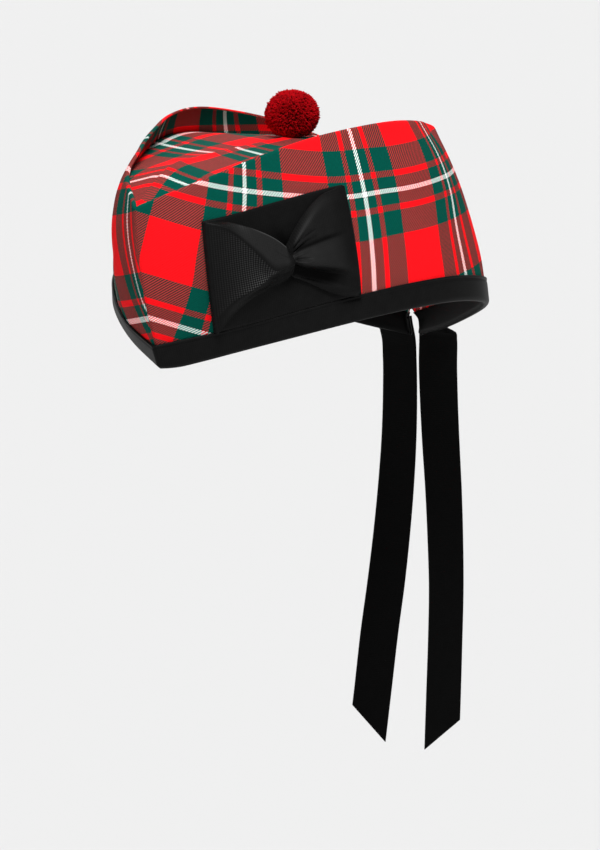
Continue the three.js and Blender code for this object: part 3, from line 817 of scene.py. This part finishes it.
def back_wing_face(away, across):
    # the loop towards the back: gathers spread up from the pinch, a full belly in the middle,
    # a deep hollow below it, and the lower edge lying low
    top = rows_to(away, (-2, 2.5), (0, 5.6), (1, 6.6), (5.8, 11.2), (14, 17.4), (21.8, 20.6), (29, 21.4),
                  (34, 21.6))
    low = rows_to(away, (-2, -5.0), (0, -8.2), (3, -10.3), (6.8, -12.8), (12, -16.4), (17.2, -19.4),
                  (24, -22.4), (30.5, -24.0))
    height = low + (top - low) * (across + 1) / 2
    base = rows_to(away, (-2, 1.6), (0, 2.2), (10, 2.6), (34, 3.2))
    valley = rows_to(away, (-2, 0.6), (0, 0.8), (4, 2.2), (10, 3.0), (17, 3.5), (34, 3.5))
    crest = rows_to(away, (-2, -1.4), (1, -2.2), (5, -3.8), (12, -5.8), (20, -8.2), (34, -13))
    brink = crest - rows_to(away, (-2, 1.2), (1, 1.4), (5, 2.2), (12, 3.0), (24, 4.0))
    floor = low + rows_to(away, (-2, 0.8), (0, 1.0), (4, 1.2), (12.8, 3.3), (22, 4.8), (30, 4.5))
    floor = np.minimum(floor, brink - 0.3)
    roll = base + rows_to(away, (-2, 1.2), (0, 2.0), (4, 2.9), (12, 3.5), (20, 2.9), (28, 1.6), (34, 0.3))
    dip = roll - rows_to(away, (-2, 0.2), (0, 0.6), (4, 1.5), (12, 1.7), (22, 1.1), (30, 0.3), (34, 0))
    full = base + rows_to(away, (-2, 1.4), (0, 2.6), (4, 4.4), (12, 5.6), (20, 4.6), (28, 2.4), (34, 0.4))
    deep = base + rows_to(away, (-2, 0.6), (0, 0), (4, -0.5), (12, -0.6), (20, 0.3), (28, 1.0), (34, 0.3))
    flap = deep + rows_to(away, (-2, 0.1), (0, 0.2), (8, 1.0), (20, 1.2), (30, 0.5), (34, 0.1))
    # lines along the wing, from its top edge down, and how far each stands off the cloth
    lines = ((top, base), ((2 * top + valley) / 3, roll), (valley, dip), (crest, full), (brink, deep),
             (floor, deep), ((floor + low) / 2, flap), (low, base - 0.3))
    lift = 0 * height + base
    for (upper, here), (lower, there) in zip(lines, lines[1:]):
        part = np.clip((upper - height) / np.maximum(upper - lower, 0.05), 0, 1)
        part = np.sin(math.pi / 2 * part) if here is base else smooth(part)
        lift = lift + (there - here) * part
    for line, rise, widths, window in BACK_WING_FOLDS:
        lift = lift + fold(away, height, line, rise, widths, window)
    # painted highlight on the belly and the gathers; painted shade in the hollow and along the valley
    spread = smooth((away - 1.5) / 3) * smooth((31 - away) / 12)
    belly = smooth((valley - height) / 1.4) * smooth((height - crest + 1.6) / 2.0)
    gathers = smooth((top - height) / 2.0) * smooth((height - valley) / 2.0)
    shut = smooth((brink + 1.3 - height) / 1.3) * smooth((height - floor + 0.4) / 1.6)
    shut = np.maximum(shut * smooth((away + 1) / 1.5) * smooth((27 - away) / 12),
                      0.6 * np.exp(-((height - valley) / 0.9) ** 2)
                      * smooth(away / 2) * smooth((28 - away) / 10))
    tones = dict(sheen=(0.34 * belly + 0.16 * gathers) * spread, fold_depth=shut)
    return height, np.maximum(lift, 1.9), tones


def bow_wing(name, node, side, finish):
    # front layer from the pinch to the outer end, the turn, and the layer behind it
    face = front_wing_face if side < 0 else back_wing_face
    inner = -1.0 if side < 0 else -2.0
    turn = 1.0
    across = np.linspace(-1, 1, 141)[None, :]
    # the outer end slants between the bow's corners
    upper, lower = [BOW_CORNERS[("front_" if side < 0 else "back_") + end] for end in ("top", "low")]
    end_along = side * (lower[0] + (upper[0] - lower[0]) * (across + 1) / 2) - turn - 0.3
    ratio = np.linspace(0, 1, 120)[:, None] ** 1.25
    away = inner + (WING_REACH - inner) * ratio + 0 * across
    height, lift, tones = face(away, across + 0 * away)
    stretch = end_along / WING_REACH
    distance = away * (1 + (stretch - 1) * smooth(away / WING_REACH))
    angle = np.radians(np.linspace(72, -72, 7))[:, None]
    end_height = height[-1:] + 0 * angle
    end_lift = 2.4 + turn * np.sin(angle) + 0 * across
    end_distance = distance[-1:] + turn * np.cos(angle)
    behind = np.linspace(0.995, 0.04, 40)[:, None] * WING_REACH + 0 * across
    rear_height = face(behind, across * 0.97 + 0 * behind)[0]
    rear_distance = behind * (1 + (stretch - 1) * smooth(behind / WING_REACH))
    distance = np.concatenate((distance, end_distance, rear_distance))
    height = np.concatenate((height, end_height, rear_height))
    lift = np.concatenate((lift, end_lift, 1.45 + 0 * rear_height))
    plain = np.concatenate((0 * end_height, 0 * rear_height))
    tones = {tone: np.concatenate((values, plain)) for tone, values in tones.items()}
    points = on_bow(side * distance, height, lift)
    length = np.concatenate(([0], np.cumsum(np.abs(np.diff(distance[:, 70])) + 0.0001)))
    cloth = np.stack(np.broadcast_arrays(length[:, None], height), -1)
    made = ribbon_body(name, points, cloth, THICK["wing"], finish, "bow_ribbon", node, tones)
    return made


def tail(name, node, side, finish):
    # a flat ribbon that turns and sways a little as it falls, from 9 mm inside the binding
    falls = TAIL_ROWS[:, 0]
    last = float(falls[-1])
    length = TAIL["length"] + (TAIL["longer"] if side > 0 else 0)
    fall = np.linspace(-9, length, 160)[:, None]
    part = np.linspace(0, 1, 21)[None, :]
    centre = on_side(np.array(1.0), np.array(0.0), np.array(RIBBON + 2 * GAP + RIBBON / 2))[1]
    # the slanted cut: the outer corner is higher
    rise = TAIL["cut"] * part * np.clip((fall - last) / (fall[-1] - last), 0, 1)
    drop = fall - rise
    turn = np.radians(through(falls, TAIL_ROWS[:, 1], np.minimum(drop, last)))
    sway = through(falls, TAIL_ROWS[:, 2] if side > 0 else -TAIL_ROWS[:, 3], drop)
    reach = TAIL["width"] * part
    points = np.stack(np.broadcast_arrays(
        TAIL["innerEdge"] + sway + reach * np.cos(turn),
        centre - reach * np.sin(turn),
        SECTIONS[-1][2] - drop), -1)
    if side < 0:
        points = points * np.array((-1.0, 1.0, 1.0))
    cloth = np.stack(np.broadcast_arrays(drop, reach), -1)
    made = ribbon_body(name, points, cloth, THICK["tail"], finish, "tail_ribbon", node)
    return made


# ---- Toorie ----

def spread_ways(rng, number, jitter):
    # directions spread evenly over a ball, each moved a little
    k = np.arange(number)
    golden = math.pi * (3 - math.sqrt(5))
    z = 1 - (2 * k + 1) / number
    r = np.sqrt(1 - z * z)
    ways = np.stack((r * np.cos(golden * k), r * np.sin(golden * k), z), -1)
    ways = ways + rng.normal(0, jitter, (number, 3))
    return ways / np.linalg.norm(ways, axis=1, keepdims=True)


def ball_core(radius):
    # the solid middle of the ball, behind the yarn
    rows, cols = 10, 18
    points, faces = [], []
    for i in range(rows + 1):
        for k in range(cols):
            lat, lon = math.pi * i / rows, 2 * math.pi * k / cols
            way = np.array((math.sin(lat) * math.cos(lon), math.sin(lat) * math.sin(lon), math.cos(lat)))
            points.append(way * radius * 0.86)
    for i in range(rows):
        for k in range(cols):
            m = (k + 1) % cols
            face = [i * cols + k, (i + 1) * cols + k, (i + 1) * cols + m, i * cols + m]
            if i == 0:
                face = [0] + face[1:3]
            elif i == rows - 1:
                face = [face[0], rows * cols, face[3]]
            faces.append(face)
    return points, faces


def toorie(finish):
    rng = np.random.default_rng(7)
    radius = TOORIE["width"] / 2
    points, faces = ball_core(radius)
    # a corner's place holds the strand's tone and how far out along the yarn it lies
    # the core sits in the painted shade of the ball's depth
    corners = [(0.5, 0.80) for face in faces for _ in face]
    ways, tufts = spread_ways(rng, STRANDS, 0.035), spread_ways(rng, TUFTS, 0.045)
    nearest = np.argmax(ways @ tufts.T, axis=1)
    tuft_tone, tuft_top = rng.uniform(0, 1, TUFTS), rng.normal(0, 0.012, TUFTS)
    # the yarn's clipped ends: three-sided strands that lean together in tufts;
    # share of the length, and share of the thickness there
    levels = ((0.66, 0.6), (0.90, 1.1), (0.985, 0.95))
    for way, tuft in zip(ways, nearest):
        apart = np.linalg.norm(way - tufts[tuft])
        way = tufts[tuft] * 0.36 + way * 0.64
        way = way / np.linalg.norm(way)
        side = np.cross(way, (0.3, 0.5, 0.81))
        side /= np.linalg.norm(side)
        other = np.cross(way, side)
        top = radius * (0.978 + rng.normal(0, 0.018) + 0.05 * max(0, rng.normal(-0.6, 0.5))
                        + tuft_top[tuft] - 2.2 * apart ** 2)
        lean = rng.normal(0, 0.6, 2)
        thick = 0.25 * rng.uniform(0.75, 1.25)
        tone = 0.5 * rng.uniform(0, 1) + 0.5 * tuft_tone[tuft]
        drift = side * lean[0] + other * lean[1]
        first = len(points)
        for share, width in levels:
            bent = way * top * share + drift * max(0, share - 0.5)
            for k in range(3):
                a = 2 * math.pi * k / 3 + tone * 6
                points.append(bent + (side * math.cos(a) + other * math.sin(a)) * thick * width)
        points += [way * top * 1.01 + drift * 0.5, way * top * 0.6]
        for row, ((lower, _), (upper, _)) in enumerate(zip(levels, levels[1:])):
            ring = first + row * 3
            for k in range(3):
                m = (k + 1) % 3
                faces.append([ring + k, ring + m, ring + 3 + m, ring + 3 + k])
                corners += [(tone, lower)] * 2 + [(tone, upper)] * 2
        last = first + 3 * (len(levels) - 1)
        tip, root = last + 3, last + 4
        for k in range(3):
            m = (k + 1) % 3
            faces += [[last + k, last + m, tip], [first + m, first + k, root]]
            corners += [(tone, 1.0)] * 3 + [(tone, 0.5)] * 3
    points = np.array(points)
    points[:, 2] *= TOORIE["height"] / TOORIE["width"]
    points += np.array((0, TOORIE["y"], TOORIE["centreZ"]))
    # flat where it is sewn to the crown
    points[:, 2] = np.maximum(points[:, 2], TOORIE["baseZ"] + 0.1)
    return piece_from("toorie_yarn", points, faces, np.array(corners) / MM, finish, "yarn", "toorie")


camera()
studio()
side_tartan = tartan("side_tartan")
crown_tartan = tartan("crown_tartan")
black_ribbon = ribbon_cloth("black_ribbon")
grosgrain = ribbon_cloth("black_grosgrain", ribbed=True)
# the tails take a darker copy of the black ribbon, as painted shade
tail_ribbon = ribbon_cloth("shaded_black_tail_ribbon", colour=SHADED_TAIL_BLACK, shine=0.04)
side_panel("side_panel_left", "side_left", 1, left_cloth, left_cloth, side_tartan)
side_panel("side_panel_right", "side_right", -1, right_cloth, right_inner_cloth, side_tartan)
crown_piece(crown_tartan)
band_piece(black_ribbon)
bow_backing(black_ribbon)
bow_wing("bow_front_wing", "bow_wing_front", -1, grosgrain)
bow_wing("bow_back_wing", "bow_wing_back", 1, black_ribbon)
tail("left_tail", "ribbon_left", 1, tail_ribbon)
tail("right_tail", "ribbon_right", -1, tail_ribbon)
toorie(yarn_wool("toorie_wool"))
